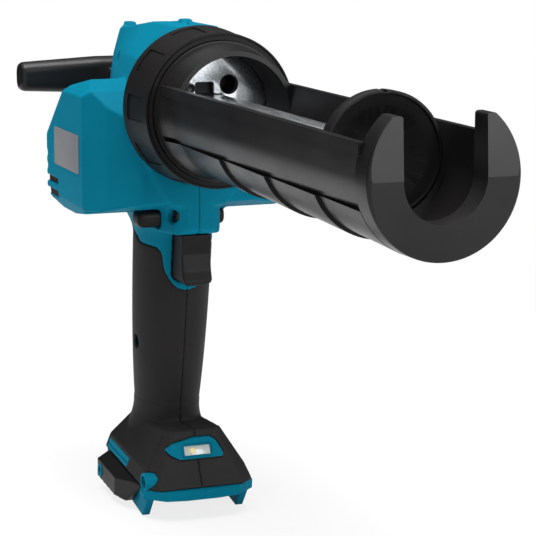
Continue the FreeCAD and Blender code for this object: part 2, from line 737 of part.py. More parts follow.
def cartridge_holder():
    outer_r = HOLDER_INNER_R + HOLDER_WALL
    start = NOSE_RING_FRONT_X + SEAT_GAP
    plate_x = HOLDER_END_X - NOSE_THICK
    form = cyl_x(start, FLANGE_FRONT_X, FLANGE_R)
    form = form.fuse(cyl_x(FLANGE_FRONT_X, COLLAR_FRONT_X + 2.0, HOLDER_TUBE_R))
    arch = cone_x(COLLAR_FRONT_X + 2.0, ARCH_FRONT_X, HOLDER_TUBE_R - 0.6, outer_r)
    form = form.fuse(arch)
    trough = trough_section(outer_r, HOLDER_TOP_Z, FLANGE_FRONT_X, plate_x + 2.0)
    for sign in (-1, 1):
        low = HOLDER_TOP_Z - LIP_DEPTH
        y0 = min(sign * (outer_r - 0.5), sign * (outer_r + LIP_OUT))
        y1 = max(sign * (outer_r - 0.5), sign * (outer_r + LIP_OUT))
        trough = trough.fuse(box(ARCH_FRONT_X - 16.0, plate_x + 2.0, y0, y1, low, HOLDER_TOP_Z))
    for index in range(STEP_COUNT):
        x1 = STEP_FIRST_X + STEP_PITCH * index
        x0 = max(x1 - STEP_PITCH + 1.0, ARCH_FRONT_X - 8.0)
        flare = cone_x(x0, x1, outer_r, outer_r + STEP_OUT)
        flare = flare.common(box(x0, x1, -60, 60, -60, GROOVE_Z - GROOVE_HIGH))
        trough = trough.fuse(flare)
    last = STEP_FIRST_X + STEP_PITCH * (STEP_COUNT - 1) + 1.0
    flare = cone_x(last, plate_x, outer_r, outer_r + STEP_OUT)
    trough = trough.fuse(flare.common(box(last, plate_x, -60, 60, -60, GROOVE_Z - GROOVE_HIGH)))
    form = form.fuse(trough)
    disc = cyl_x(plate_x, HOLDER_END_X, NOSE_R)
    disc = rounded(disc, NOSE_ROUND, lambda edge: edge_middle(edge).x > HOLDER_END_X - 0.1)
    form = form.fuse(disc)
    form = form.cut(cyl_x(start - 1.0, ARCH_FRONT_X + 1.0, HOLDER_INNER_R))
    form = form.cut(trough_section(HOLDER_INNER_R, 60.0, ARCH_FRONT_X - 0.5, plate_x))
    form = form.cut(cyl_x(start - 1.0, 2.0, PLATE_R + RUN_GAP))
    slot = box(plate_x - 1.0, HOLDER_END_X + 1.0, -SLOT_HALF, SLOT_HALF, 0.0, 60.0)
    slot = slot.fuse(cyl_x(plate_x - 1.0, HOLDER_END_X + 1.0, SLOT_HALF))
    form = form.cut(slot)
    form = form.cut(box(plate_x - 1.0, HOLDER_END_X + 1.0, -60, 60, HORN_TOP_Z, 60))
    for edge_z, draft in ((HORN_TOP_Z + 1.0, HORN_DRAFT), (-NOSE_R - 1.0, NOSE_DRAFT)):
        form = form.cut(side_block([
            (HOLDER_END_X, 0.0), (HOLDER_END_X + 1.0, 0.0), (HOLDER_END_X + 1.0, edge_z),
            (HOLDER_END_X - draft, edge_z)], -60.0, 60.0))
    deep = outer_r - GROOVE_DEEP
    ring = box(ARCH_FRONT_X - 14.0, plate_x, -60, 60, GROOVE_Z - GROOVE_HIGH, GROOVE_Z)
    ring = ring.cut(cyl_x(0.0, plate_x + 1.0, deep))
    form = form.cut(ring)
    return rounded(form, HORN_ROUND, lambda edge: edge_middle(edge).z > HORN_TOP_Z - 0.1
                   and abs(edge.tangentAt(edge.FirstParameter).x) > 0.9)


# Rod and what rides on it

def rack_rod():
    high = ROD_HIGH / 2.0
    front = PISTON_FRONT_X - PISTON_DISH - BOLT_LONG
    form = box(ROD_REAR_X, front, -ROD_WIDE / 2.0, ROD_WIDE / 2.0, -high, high)
    pitch = math.pi * RACK_MODULE
    slant = math.tan(PRESSURE_ANGLE)
    deep = RACK_DEEP * RACK_MODULE
    below = RACK_LINE_Z + high
    count_low = int(round((RACK_FROM_X - PINION_X) / pitch))
    count_high = int(round((RACK_TO_X - PINION_X) / pitch))
    gaps = []
    for index in range(count_low, count_high):
        x = PINION_X + pitch * index
        half = pitch / 4.0 + MESH_SLACK / 2.0
        wide = half + slant * (below + 0.2)
        narrow = half - slant * (deep - below)
        low = -high - 0.2
        top = -high + deep
        points = [(x - wide, low), (x + wide, low), (x + narrow, top), (x - narrow, top)]
        gaps.append(side_block(points, -ROD_WIDE, ROD_WIDE))
    form = form.cut(Part.makeCompound(gaps))
    form = form.cut(cyl_y(-20.0, 20.0, HANDLE_PIN_R, HANDLE_CENTRE_X, 0.0))
    return form


def piston():
    rear = PISTON_FRONT_X - PISTON_THICK
    skirt = PISTON_FRONT_X - PISTON_SKIRT
    form = cyl_x(skirt, PISTON_FRONT_X, PISTON_R)
    form = form.fuse(cone_x(rear, skirt, PISTON_HUB_R + 3.0, PISTON_R - PISTON_RIM))
    form = form.cut(cyl_x(PISTON_FRONT_X - PISTON_FACE_DEEP, PISTON_FRONT_X + 1.0, PISTON_R - PISTON_RIM))
    form = form.cut(cone_x(PISTON_FRONT_X - PISTON_DISH, PISTON_FRONT_X - PISTON_FACE_DEEP + 0.01,
                           PISTON_HUB_R + 1.0, PISTON_FACE_R))
    notch = box(skirt - 1.0, PISTON_FRONT_X + 1.0, -PISTON_NOTCH / 2.0, PISTON_NOTCH / 2.0,
                PISTON_R - 1.0, PISTON_R + 1.0)
    form = form.cut(notch)
    form.translate(vec(0, 0, PISTON_RISE))
    form = form.cut(rod_room(0.0, 0.0, PISTON_FRONT_X - PISTON_DISH - BOLT_LONG))
    return form.cut(cyl_x(rear - 1.0, PISTON_FRONT_X + 1.0, BOLT_R, 0.0, PISTON_RISE))


def piston_screw():
    x0 = PISTON_FRONT_X - PISTON_DISH
    form = cyl_x(x0 - BOLT_LONG, x0, BOLT_R, 0.0, PISTON_RISE)
    head = cyl_x(x0, x0 + BOLT_HEAD, BOLT_HEAD_R, 0.0, PISTON_RISE)
    head = head.cut(cyl_x(x0 + 1.4, x0 + BOLT_HEAD + 1.0, BOLT_SOCKET_R, 0.0, PISTON_RISE))
    return form.fuse(head)


def rod_handle():
    front = HANDLE_CENTRE_X + HANDLE_DEEP / 2.0
    rear = HANDLE_CENTRE_X - HANDLE_DEEP / 2.0
    root = HANDLE_ROOT / 2.0
    tip = HANDLE_TIP / 2.0
    inner = ROD_WIDE / 2.0 + HANDLE_CHEEK
    wires = []
    for y, half, trim in ((inner, root, 0.0), (-inner, root, 0.0), (-HANDLE_LONG, tip, HANDLE_TIP_TRIM)):
        shape = Part.makePolygon([
            vec(rear + trim, y, -half), vec(front - trim, y, -half),
            vec(front - trim, y, half), vec(rear + trim, y, half), vec(rear + trim, y, -half)])
        wires.append(shape)
    form = Part.makeLoft(wires, True, True)
    form = rounded(form, HANDLE_ROUND, lambda edge: abs(edge.tangentAt(edge.FirstParameter).y) > 0.8)
    form = rounded(form, HANDLE_TIP_ROUND, lambda edge: edge_middle(edge).y < -HANDLE_LONG + 0.1)
    form.translate(vec(0, 0, HANDLE_RISE))
    form = form.cut(rod_room(0.0, ROD_REAR_X, 0.0))
    return form.cut(cyl_y(-20.0, 20.0, HANDLE_PIN_R, HANDLE_CENTRE_X, 0.0))


def handle_pin():
    end = ROD_WIDE / 2.0 + HANDLE_CHEEK
    return cyl_y(-end + 1.5, end, HANDLE_PIN_R, HANDLE_CENTRE_X, 0.0)


# Drive train

def axis_angle(x0, z0, x1, z1):
    return math.atan2(z1 - z0, x1 - x0)


def rack_pinion():
    # One gap of the rack stands over the axis, so one tooth points up
    wide = ROD_WIDE - 1.0
    gear = gear_at(RACK_MODULE, RACK_TEETH, wide, math.pi / 2.0, PINION_X, -wide / 2.0, PINION_Z)
    return gear.cut(cyl_y(-50.0, 50.0, SHAFT_R, PINION_X, PINION_Z))


def output_gear():
    turn = axis_angle(PINION_X, PINION_Z, IDLER_X, IDLER_Z) + math.pi / LARGE_TEETH
    gear = gear_at(GEAR_MODULE, LARGE_TEETH, GEAR_WIDE, turn, PINION_X, OUTPUT_Y, PINION_Z)
    return gear.cut(cyl_y(-50.0, 50.0, SHAFT_R, PINION_X, PINION_Z))


def output_shaft():
    return cyl_y(-PLATE_IN_Y - PLATE_IN_THICK, PLATE_OUT_Y + PLATE_OUT_THICK, SHAFT_R, PINION_X, PINION_Z)


def idler_gear():
    turn = axis_angle(IDLER_X, IDLER_Z, PINION_X, PINION_Z)
    small = gear_at(GEAR_MODULE, SMALL_TEETH, GEAR_WIDE, turn, IDLER_X, OUTPUT_Y, IDLER_Z)
    turn = axis_angle(IDLER_X, IDLER_Z, MOTOR_X, MOTOR_Z) + math.pi / LARGE_TEETH
    large = gear_at(GEAR_MODULE, LARGE_TEETH, GEAR_WIDE, turn, IDLER_X, IDLER_Y, IDLER_Z)
    hub = cyl_y(OUTPUT_Y, IDLER_Y + GEAR_WIDE, SMALL_TEETH * GEAR_MODULE / 2.0 - 1.2, IDLER_X, IDLER_Z)
    form = small.fuse(hub).fuse(large)
    return form.cut(cyl_y(-50.0, 50.0, SHAFT_R, IDLER_X, IDLER_Z))


def idler_shaft():
    return cyl_y(PLATE_IN_Y, PLATE_OUT_Y + PLATE_OUT_THICK, SHAFT_R, IDLER_X, IDLER_Z)


def motor_pinion():
    turn = axis_angle(MOTOR_X, MOTOR_Z, IDLER_X, IDLER_Z)
    gear = gear_at(GEAR_MODULE, SMALL_TEETH, GEAR_WIDE, turn, MOTOR_X, IDLER_Y, MOTOR_Z)
    return gear.cut(cyl_y(-50.0, 50.0, MOTOR_SHAFT_R, MOTOR_X, MOTOR_Z))


def motor_shaft():
    return cyl_y(MOTOR_FAR_Y + MOTOR_CAP - 3.0, IDLER_Y + GEAR_WIDE, MOTOR_SHAFT_R, MOTOR_X, MOTOR_Z)


def motor_core():
    form = cyl_y(MOTOR_FAR_Y + 14.0, PLATE_IN_Y - 10.0, MOTOR_R - MOTOR_CAN_WALL - MOTOR_CORE_GAP,
                 MOTOR_X, MOTOR_Z)
    return form.cut(cyl_y(-60.0, 50.0, MOTOR_SHAFT_R, MOTOR_X, MOTOR_Z))


def motor_can():
    form = cyl_y(MOTOR_FAR_Y + MOTOR_CAP, PLATE_IN_Y, MOTOR_R, MOTOR_X, MOTOR_Z)
    room = cyl_y(MOTOR_FAR_Y + MOTOR_CAP, PLATE_IN_Y - 2.0, MOTOR_R - MOTOR_CAN_WALL, MOTOR_X, MOTOR_Z)
    form = form.cut(room)
    return form.cut(cyl_y(-60.0, 50.0, MOTOR_SHAFT_R + SEAT_GAP, MOTOR_X, MOTOR_Z))


def motor_cap():
    form = cyl_y(MOTOR_FAR_Y, MOTOR_FAR_Y + MOTOR_CAP, MOTOR_R, MOTOR_X, MOTOR_Z)
    return form.cut(cyl_y(MOTOR_FAR_Y + 1.5, 0.0, MOTOR_SHAFT_R + SEAT_GAP, MOTOR_X, MOTOR_Z))


def gear_plate(y0, thick, motor_hole):
    points = [
        (PINION_X + 12.0, 20.0),
        (PINION_X + 12.0, PINION_Z - 12.0),
        (PINION_X - 6.0, -40.0),
        (MOTOR_X - 10.0, -40.0),
        (MOTOR_X - 14.0, -22.0),
        (IDLER_X - 12.0, 20.0),
    ]
    form = side_block(points, y0, y0 + thick)
    form = form.cut(cyl_y(-60.0, 60.0, SHAFT_R + SEAT_GAP, PINION_X, PINION_Z))
    form = form.cut(cyl_y(-60.0, 60.0, SHAFT_R + SEAT_GAP, IDLER_X, IDLER_Z))
    return form.cut(cyl_y(-60.0, 60.0, motor_hole, MOTOR_X, MOTOR_Z))


def gear_case():
    form = gear_plate(PLATE_IN_Y, PLATE_IN_THICK, MOTOR_SHAFT_R + 2.0)
    outer = gear_plate(PLATE_OUT_Y, PLATE_OUT_THICK, MOTOR_SHAFT_R + 2.0)
    near = gear_plate(-PLATE_IN_Y - PLATE_IN_THICK, PLATE_IN_THICK, MOTOR_R + 2.0)
    near = near.cut(box(-200, PINION_X - 10.0, -30, 0, -60, 8.0))
    form = form.fuse(outer).fuse(near)
    wall = BODY_HALF - WALL
    for x in (PINION_X + 4.0, IDLER_X - 10.0):
        form = form.fuse(box(x, x + 7.0, -wall, wall, 12.0, 19.0))
    return form.common(housing_room())


# Small parts of the body

def rating_plate():
    form = box(RATING_REAR_X, RATING_FRONT_X, -BULGE_HALF - RATING_THICK, -BULGE_HALF,
               RATING_LOW_Z, RATING_TOP_Z)
    return rounded(form, RATING_ROUND, lambda edge: abs(edge.tangentAt(edge.FirstParameter).y) > 0.9)


def trigger():
    rear = TRIGGER_FRONT_X - TRIGGER_LONG
    low = TRIGGER_TOP_Z - TRIGGER_HIGH
    points = [
        (rear, TRIGGER_TOP_Z), (TRIGGER_FRONT_X - 1.5, TRIGGER_TOP_Z),
        (TRIGGER_FRONT_X - 3.0, TRIGGER_TOP_Z - 9.0), (TRIGGER_FRONT_X - 2.0, low + 7.0),
        (TRIGGER_FRONT_X, low + 2.0), (TRIGGER_FRONT_X - 2.0, low), (rear, low),
    ]
    form = side_block(points, -TRIGGER_HALF - 1.0, TRIGGER_HALF + 1.0)
    form = form.common(trigger_bar(0.0, rear, TRIGGER_FRONT_X))
    return rounded(form, TRIGGER_ROUND, lambda edge: edge_middle(edge).x > TRIGGER_FRONT_X - 4.0
                   and abs(abs(edge_middle(edge).y) - TRIGGER_HALF) < 0.1)


def switch_body():
    rear = TRIGGER_FRONT_X - TRIGGER_LONG - TRIGGER_PULL - RUN_GAP
    top = TRIGGER_TOP_Z - PLUNGER_DROP + SWITCH_HIGH / 2.0 - 1.0
    form = box(rear - SWITCH_LONG, rear, -30.0, 30.0, top - SWITCH_HIGH, top)
    form = form.common(grip_form(SLEEVE + CORE_WALL, GRIP_TOP_Z + 8.0, GRIP_LOW_Z - 1.0))
    hole = cyl_x(rear - 8.0, rear + 1.0, PLUNGER_R + RUN_GAP, 0.0, TRIGGER_TOP_Z - PLUNGER_DROP)
    return form.cut(hole)


def switch_plunger():
    rear = TRIGGER_FRONT_X - TRIGGER_LONG
    return cyl_x(rear - TRIGGER_PULL - 1.5, rear, PLUNGER_R, 0.0, TRIGGER_TOP_Z - PLUNGER_DROP)


def lock_button():
    near = -NECK_HALF - LOCK_OUT
    far = NECK_HALF + LOCK_FAR
    form = lock_form(0.0, near, far)
    return rounded(form, LOCK_ROUND, lambda edge: edge_middle(edge).y < near + 0.1
                   or edge_middle(edge).y > far - 0.1)


# Foot

def foot_ring(z, front, rear, half, cut, rise):
    # A level outline of the foot, or one that rises evenly to the front
    points = mirrored_plan([
        (front, half - cut), (front - cut, half), (rear + cut, half), (rear, half - cut)])
    corners = [vec(x, y, z + rise * (x - rear) / (front - rear)) for x, y in points]
    return Part.makePolygon(corners + corners[:1])


def foot_front_x(z):
    # The front slope of the foot between its top and its shoulder
    top = FOOT_TOP_Z + BROW_HIGH
    share = (top - z) / (top - FOOT_MID_Z)
    return FOOT_FRONT_X - FOOT_BACK_TOP + (FOOT_BACK_TOP - FOOT_BACK_MID) * share


def front_slab(z_top, z_low, half, out, back):
    top = foot_front_x(z_top)
    low = foot_front_x(z_low)
    points = [(top - back, z_top), (top + out, z_top), (low + out, z_low), (low - back, z_low)]
    return side_block(points, -half, half)


def led_bezel_form():
    middle = (BEZEL_TOP_Z + BEZEL_LOW_Z) / 2.0
    form = front_slab(BEZEL_TOP_Z, BEZEL_LOW_Z, BEZEL_TIP, BEZEL_OUT, 3.0)
    trim = [
        (-BEZEL_HALF + 3.6, BEZEL_LOW_Z), (BEZEL_HALF - 0.4, BEZEL_LOW_Z), (BEZEL_HALF, BEZEL_LOW_Z + 1.4),
        (BEZEL_HALF - 3.0, BEZEL_TOP_Z - 1.6), (BEZEL_HALF - 5.8, BEZEL_TOP_Z),
        (-1.0, BEZEL_TOP_Z), (-BEZEL_HALF + 0.6, BEZEL_TOP_Z - 2.0), (-BEZEL_TIP, middle),
        (-BEZEL_HALF - 0.8, BEZEL_LOW_Z + 2.2)]
    return form.common(front_block(trim, -60.0, 20.0))


def led_lens():
    return front_slab(LENS_TOP_Z, LENS_LOW_Z, LENS_HALF, BEZEL_OUT - 0.4, 2.0)


def led_bezel():
    return led_bezel_form().cut(front_slab(LENS_TOP_Z, LENS_LOW_Z, LENS_HALF, BEZEL_OUT + 2.0, 2.0))


def boss_bar(y0, radius, deep):
    face = -FOOT_HALF + BOSS_SINK
    return cyl_y(y0, face + deep, radius, BOSS_X, BOSS_Z)


def boss_seat():
    # Open to the side of the foot, so that a pin can go straight in
    return boss_bar(-FOOT_HALF - 2.0, BOSS_R, BOSS_HOLE_DEEP + 3.0)


def hook_boss():
    form = boss_bar(-FOOT_HALF + BOSS_SINK, BOSS_R, BOSS_HOLE_DEEP + 3.0)
    return form.cut(boss_bar(-FOOT_HALF - 2.0, BOSS_HOLE_R, BOSS_HOLE_DEEP))


def foot_side(z):
    # The half width of the foot, which leans in between its lower edge and its shoulder
    return FOOT_HALF - (FOOT_HALF - FOOT_MID_HALF) * (z - FOOT_LOW_Z) / (FOOT_MID_Z - FOOT_LOW_Z)


def side_slab(sign, low, top, deep, out, x0, x1):
    points = [(foot_side(low) - deep, low), (foot_side(low) + out, low),
              (foot_side(top) + out, top), (foot_side(top) - deep, top)]
    return front_block([(sign * y, z) for y, z in points], x0, x1)


def side_panel(sign):
    low = FOOT_LOW_Z + 1.0 + PANEL_GROOVE_UP
    groove = side_slab(sign, low, low + PANEL_GROOVE, SIDE_PANEL_THICK / 2.0, 1.0,
                       FOOT_REAR_X, FOOT_REAR_X + 50.0)
    return panel_seat(sign).cut(groove)


def panel_seat(sign):
    # The shallow seat of a side panel in the foot
    return side_slab(sign, FOOT_LOW_Z + 1.0, FOOT_MID_Z - FOOT_ROUND + 0.6, SIDE_PANEL_THICK, 0.0,
                     FOOT_REAR_X + 8.0, FOOT_REAR_X + 40.0)


def hook_block(sign):
    inner = RAIL_HALF + RAIL_THICK
    outer = FOOT_HALF + HOOK_BLOCK_OUT
    x0 = FOOT_REAR_X + HOOK_BLOCK_BACK
    x1 = x0 + HOOK_BLOCK_LONG
    x2 = x1 + HOOK_BLOCK_FAIR
    top = FOOT_LOW_Z - 0.8
    low = STRIP_LOW_Z - HOOK_BLOCK_DROP
    plan = [(x0, sign * inner), (x0, sign * outer), (x1, sign * outer),
            (x2, sign * (inner + 0.4)), (x2, sign * inner)]
    side = [(x0, top), (x2, top), (x1 + 9.0, low), (x0, low)]
    form = plan_block(plan, low, top).common(side_block(side, -outer, outer))
    beyond = sign * (outer + 1.0)
    slope = front_block([(sign * FOOT_HALF, top), (beyond, top - HOOK_BLOCK_SLOPE),
                         (beyond, top + 1.0), (sign * FOOT_HALF, top + 1.0)], x0 - 1.0, x2 + 1.0)
    form = form.cut(slope)
    start = -outer - 1.0 if sign < 0 else outer - HOOK_BLOCK_HOLE
    return form.cut(cyl_y(start, start + HOOK_BLOCK_HOLE + 1.0, HOOK_HOLE_R, x0 + 5.0, HOOK_HOLE_Z))


def foot_flare():
    # The grip widens into the top of the foot
    wires = []
    for share in (0.0, 0.4, 0.75, 1.0):
        z = FOOT_TOP_Z + FLARE_HIGH - (FLARE_HIGH + FLARE_SUNK) * share
        wires.append(grip_oval(z, FLARE_STEP + FLARE_OUT * share * share))
    return Part.makeLoft(wires, True, False)


def foot_room():
    return box(FOOT_REAR_X + 16.0, FOOT_FRONT_X - 26.0, -FOOT_TOP_HALF, FOOT_TOP_HALF,
               FOOT_LOW_Z - 1.0, FOOT_TOP_Z - 5.0)


def foot_cover():
    top = foot_ring(FOOT_TOP_Z - FOOT_ROOF_DROP, FOOT_FRONT_X - FOOT_BACK_TOP, FOOT_REAR_X + 3.0,
                    FOOT_BROW_HALF, 3.0, BROW_HIGH + FOOT_ROOF_DROP)
    mid = foot_ring(FOOT_MID_Z, FOOT_FRONT_X - FOOT_BACK_MID, FOOT_REAR_X, FOOT_MID_HALF, 6.0, 0.0)
    low = foot_ring(FOOT_LOW_Z, FOOT_FRONT_X, FOOT_REAR_X, FOOT_HALF, 6.0, 0.0)
    form = Part.makeLoft([top, mid], True, True).fuse(Part.makeLoft([mid, low], True, True))
    form = form.removeSplitter()
    form = rounded(form, FOOT_ROUND, lambda edge: abs(edge_middle(edge).z - FOOT_MID_Z) < 0.1)
    form = form.cut(led_bezel_form()).cut(led_lens()).cut(boss_seat())
    return form.cut(panel_seat(-1)).cut(panel_seat(1))


def battery_frame():
    front = FOOT_FRONT_X
    form = plan_block(mirrored_plan([
        (front + 2.5, 8.0), (front + 1.0, 18.0), (front - 6.0, FOOT_HALF), (front - 12.0, FOOT_HALF),
        (front - 8.0, RAIL_HALF)]), STRIP_LOW_Z, FOOT_LOW_Z)
    for sign in (-1, 1):
        y0 = min(sign * RAIL_HALF, sign * (RAIL_HALF + RAIL_THICK))
        y1 = max(sign * RAIL_HALF, sign * (RAIL_HALF + RAIL_THICK))
        rail = side_block([(front - 6.0, FOOT_LOW_Z), (front - 6.0, STRIP_LOW_Z),
                           (front - 13.5, RAIL_LOW_Z), (front - 30.0, RAIL_LOW_Z + 1.5),
                           (front - 35.0, STRIP_LOW_Z - 4.0), (FOOT_REAR_X + 4.0, STRIP_LOW_Z - 4.0),
                           (FOOT_REAR_X + 4.0, FOOT_LOW_Z)], y0, y1)
        form = form.fuse(rail)
    floor = box(FOOT_REAR_X + 4.0, front - 6.0, -RAIL_HALF - RAIL_THICK, RAIL_HALF + RAIL_THICK,
                FOOT_LOW_Z - FLOOR_THICK, FOOT_LOW_Z)
    return form.fuse(floor)


def terminal_block():
    top = FOOT_LOW_Z - FLOOR_THICK
    low = top - TERMINAL_HIGH
    rear = FOOT_REAR_X + 20.0
    front = rear + TERMINAL_LONG
    form = box(rear, front, -TERMINAL_HALF, TERMINAL_HALF, low, top)
    for index in range(TERMINAL_SLOTS):
        y = TERMINAL_PITCH * (index - (TERMINAL_SLOTS - 1) / 2.0) - TERMINAL_SLOT / 2.0
        form = form.cut(box(rear + 6.0, front + 1.0, y, y + TERMINAL_SLOT, low - 1.0, top - 1.5))
    return form


def control_board():
    low = FOOT_LOW_Z
    return box(FOOT_REAR_X + 18.0, FOOT_FRONT_X - 28.0, -FOOT_TOP_HALF + 1.0, FOOT_TOP_HALF - 1.0,
               low, low + BOARD_THICK)


def build():
    whole = housing_whole()
    save("housing_right", half_of(whole, -1))
    save("housing_left", half_of(whole, 1))
    skin = grip_skin()
    save("grip_right", half_of(skin, -1))
    save("grip_left", half_of(skin, 1))
    save("collar_ring", collar_ring())
    save("nose_ring", nose_ring())
    save("front_bush", front_bush())
    save("rear_bush", rear_bush())
    save("thrust_plate", thrust_plate())
    save("thrust_screw_right", thrust_screw(-1))
    save("thrust_screw_left", thrust_screw(1))
    save("cartridge_holder", cartridge_holder())
    save("rack_rod", rack_rod())
    save("piston", piston())
    save("piston_screw", piston_screw())
    save("rod_handle", rod_handle())
    save("handle_pin", handle_pin())
    save("rack_pinion", rack_pinion())
    save("output_gear", output_gear())
    save("output_shaft", output_shaft())
    save("idler_gear", idler_gear())
    save("idler_shaft", idler_shaft())
    save("motor_pinion", motor_pinion())
    save("motor_shaft", motor_shaft())
    save("motor_core", motor_core())
    save("motor_can", motor_can())
    save("motor_cap", motor_cap())
    save("gear_case", gear_case())
    save("rating_plate", rating_plate())
    save("trigger", trigger())
    save("switch_body", switch_body())
    save("switch_plunger", switch_plunger())
    save("lock_button", lock_button())
    for index, place in enumerate(screw_places()):
        save("housing_screw_" + str(index + 1), housing_screw(*place))
    save("battery_frame", tilt_foot(battery_frame().cut(boss_seat())))
    save("led_bezel", tilt_foot(led_bezel()))
    save("led_lens", tilt_foot(led_lens()))
    save("hook_boss", tilt_foot(hook_boss()))
    save("side_panel_right", tilt_foot(side_panel(-1)))
    save("side_panel_left", tilt_foot(side_panel(1)))
    save("hook_block_right", tilt_foot(hook_block(-1)))
    save("hook_block_left", tilt_foot(hook_block(1)))
    save("terminal_block", tilt_foot(terminal_block()))
    save("control_board", tilt_foot(control_board()))


build()
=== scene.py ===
import json
import math

import bmesh
import bpy
from mathutils import Matrix, Vector


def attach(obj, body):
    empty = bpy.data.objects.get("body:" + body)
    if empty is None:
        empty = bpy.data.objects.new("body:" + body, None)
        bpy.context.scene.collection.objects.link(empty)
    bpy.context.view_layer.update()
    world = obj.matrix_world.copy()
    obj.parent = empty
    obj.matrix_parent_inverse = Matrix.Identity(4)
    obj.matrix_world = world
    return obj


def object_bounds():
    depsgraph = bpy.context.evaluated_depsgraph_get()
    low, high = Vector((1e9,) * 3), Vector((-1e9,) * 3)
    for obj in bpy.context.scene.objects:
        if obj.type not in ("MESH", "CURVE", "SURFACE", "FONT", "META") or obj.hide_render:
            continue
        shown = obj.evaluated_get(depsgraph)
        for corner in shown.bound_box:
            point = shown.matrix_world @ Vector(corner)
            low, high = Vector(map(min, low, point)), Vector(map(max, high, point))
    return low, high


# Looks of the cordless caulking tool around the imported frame. Metres, in the frame of the CAD.
# +X is forward along the rod, +Z is up, -Y is the right-hand side.

MM = 0.001

# Camera, fitted to the round collar, holder and nose plate of the photograph
CAMERA_PLACE = (0.84498, -0.29707, 0.09532)
CAMERA_AZIMUTH = 69.016
CAMERA_ELEVATION = 10.583
CAMERA_ROLL = 0.134
CAMERA_LENS = 135.59
SENSOR_WIDTH = 36.0
CLIP_NEAR = 0.01
CLIP_FAR = 50.0

# Colours, linear
TEAL = (0.002, 0.150, 0.232)
BLACK = (0.0090, 0.0082, 0.0086)
RUBBER = (0.0150, 0.0138, 0.0138)
PLATE_GREY = (0.17, 0.175, 0.19)
ZINC = (0.78, 0.82, 0.85)
STEEL = (0.58, 0.60, 0.62)
DARK_STEEL = (0.03, 0.03, 0.033)
ALLOY = (0.10, 0.10, 0.105)
BRASS = (0.50, 0.36, 0.16)
LENS = (0.50, 0.54, 0.53)
CHIP = (0.80, 0.66, 0.30)
BOARD = (0.01, 0.10, 0.04)
WHITE = (1.0, 1.0, 1.0, 1.0)

# Textures: scale of the noise per metre, height of the bump in metres, and reach of the noise that
# drives gloss and tint
FLOW_SCALE = 35.0
WAVE_SCALE = 60.0
WAVE_HIGH = 0.4 * MM
GRAIN_HIGH = 0.06 * MM
METAL_SCALE = 90.0
METAL_HIGH = 0.05 * MM
ZINC_CRYSTALS = 1100.0
ZINC_GRAIN = 900.0
LENS_RIBS = 180.0
LENS_CLOUD = 160.0
LENS_RIB_HIGH = 0.2 * MM
GLOSS_FROM = 0.3
GLOSS_TO = 0.7
TINT_FROM = 0.35
TINT_TO = 0.65
# Nodes that look different from the rest of their slot
OTHER_PLASTIC = {"cartridge_holder": "holder_black", "rod_handle": "holder_black",
                 "lock_button": "black_plastic"}

# Light: strength of the sky, then the place from the part's middle, size and power of each lamp
SKY = 0.20
KEY_PLACE = (0.10, -0.10, 1.20)
KEY_SIZE = 1.0
KEY_POWER = 26.0
FRONT_PLACE = (1.10, 0.42, 0.30)
FRONT_SIZE = 0.6
FRONT_POWER = 5.6
SIDE_PLACE = (-1.00, -0.85, 0.30)
SIDE_SIZE = 0.8
SIDE_POWER = 7.0
# Floor, with its own light for the rays that see the background, and the dark card
FLOOR_HALF = 3.0
FLOOR_GREY = 0.85
FLOOR_FADE_FROM = 0.15
FLOOR_FADE_TO = 0.7
FLOOR_GLOW = 0.80
CARD_REACH = 0.9
CARD_HIGH = 0.75
CARD_RAISED = 0.002
CARD_FROM = 100.0
CARD_SWEEP = 190.0
CARD_STEPS = 24
CARD_GREY = 0.02

# Softening: voxel size in millimetres and passes of smoothing for each moulded piece
SOFT_PIECES = {
    "housing_right": (0.75, 5), "housing_left": (0.75, 5),
    "grip_right": (0.6, 8), "grip_left": (0.6, 8),
    "rod_handle": (0.5, 16), "trigger": (0.4, 8), "lock_button": (0.4, 30),
    "hook_block_right": (0.4, 4), "hook_block_left": (0.4, 4),
}
# Bevelled edges: width in millimetres for each crisper piece
BEVEL_PIECES = {
    "collar_ring": 0.35, "cartridge_holder": 0.2, "piston": 0.35, "piston_screw": 0.25,
    "thrust_plate": 0.15, "thrust_screw_right": 0.2, "thrust_screw_left": 0.2, "rating_plate": 0.12,
    "battery_frame": 0.35, "led_bezel": 0.25, "led_lens": 0.2, "hook_boss": 0.25,
    "side_panel_right": 0.25, "side_panel_left": 0.25, "rack_rod": 0.15, "handle_pin": 0.2,
    "housing_screw_1": 0.15, "housing_screw_2": 0.15, "housing_screw_3": 0.15,
}
WELD_REACH = 0.002 * MM
RELAX_SHARE = 0.5
BEVEL_STEPS = 2
EDGE_ANGLE = math.radians(28.0)
SHADE_ANGLE = math.radians(32.0)
FLAT_ANGLE = math.radians(0.4)
FOLD_ANGLE = math.radians(2.0)
END_FACING = 0.9
# Pieces whose wide flat faces are shaded flat up to their bevels
FLAT_PIECES = ("collar_ring", "cartridge_holder", "rating_plate", "battery_frame", "led_bezel",
               "side_panel_right", "side_panel_left")

# Small trim
RING_OUTER = 3.3 * MM
RING_INNER = 1.9 * MM
RING_PROUD = 0.45 * MM
RING_SUNK = 3.0 * MM
RING_SIDES = 48
FRAME_MARGIN = 0.75 * MM
FRAME_THICK = 0.32 * MM
FRAME_RISE = 0.5 * MM
FRAME_SIDES = 8
FRAME_CORNER_STEPS = 6
LENS_FACING = (1.0, 0.0, 0.4)
SAME_FACE = 0.9995
CHIP_SHIFT = -2.4 * MM
CHIP_HALF = 1.35 * MM
CHIP_HIGH = 0.45 * MM
CHIP_CORNER = 0.45
# Share of the outline and of the height at each level of the lamp chip
CHIP_LEVELS = ((1.0, -0.3), (1.0, 0.3), (0.9, 0.7), (0.7, 0.95), (0.35, 1.0))
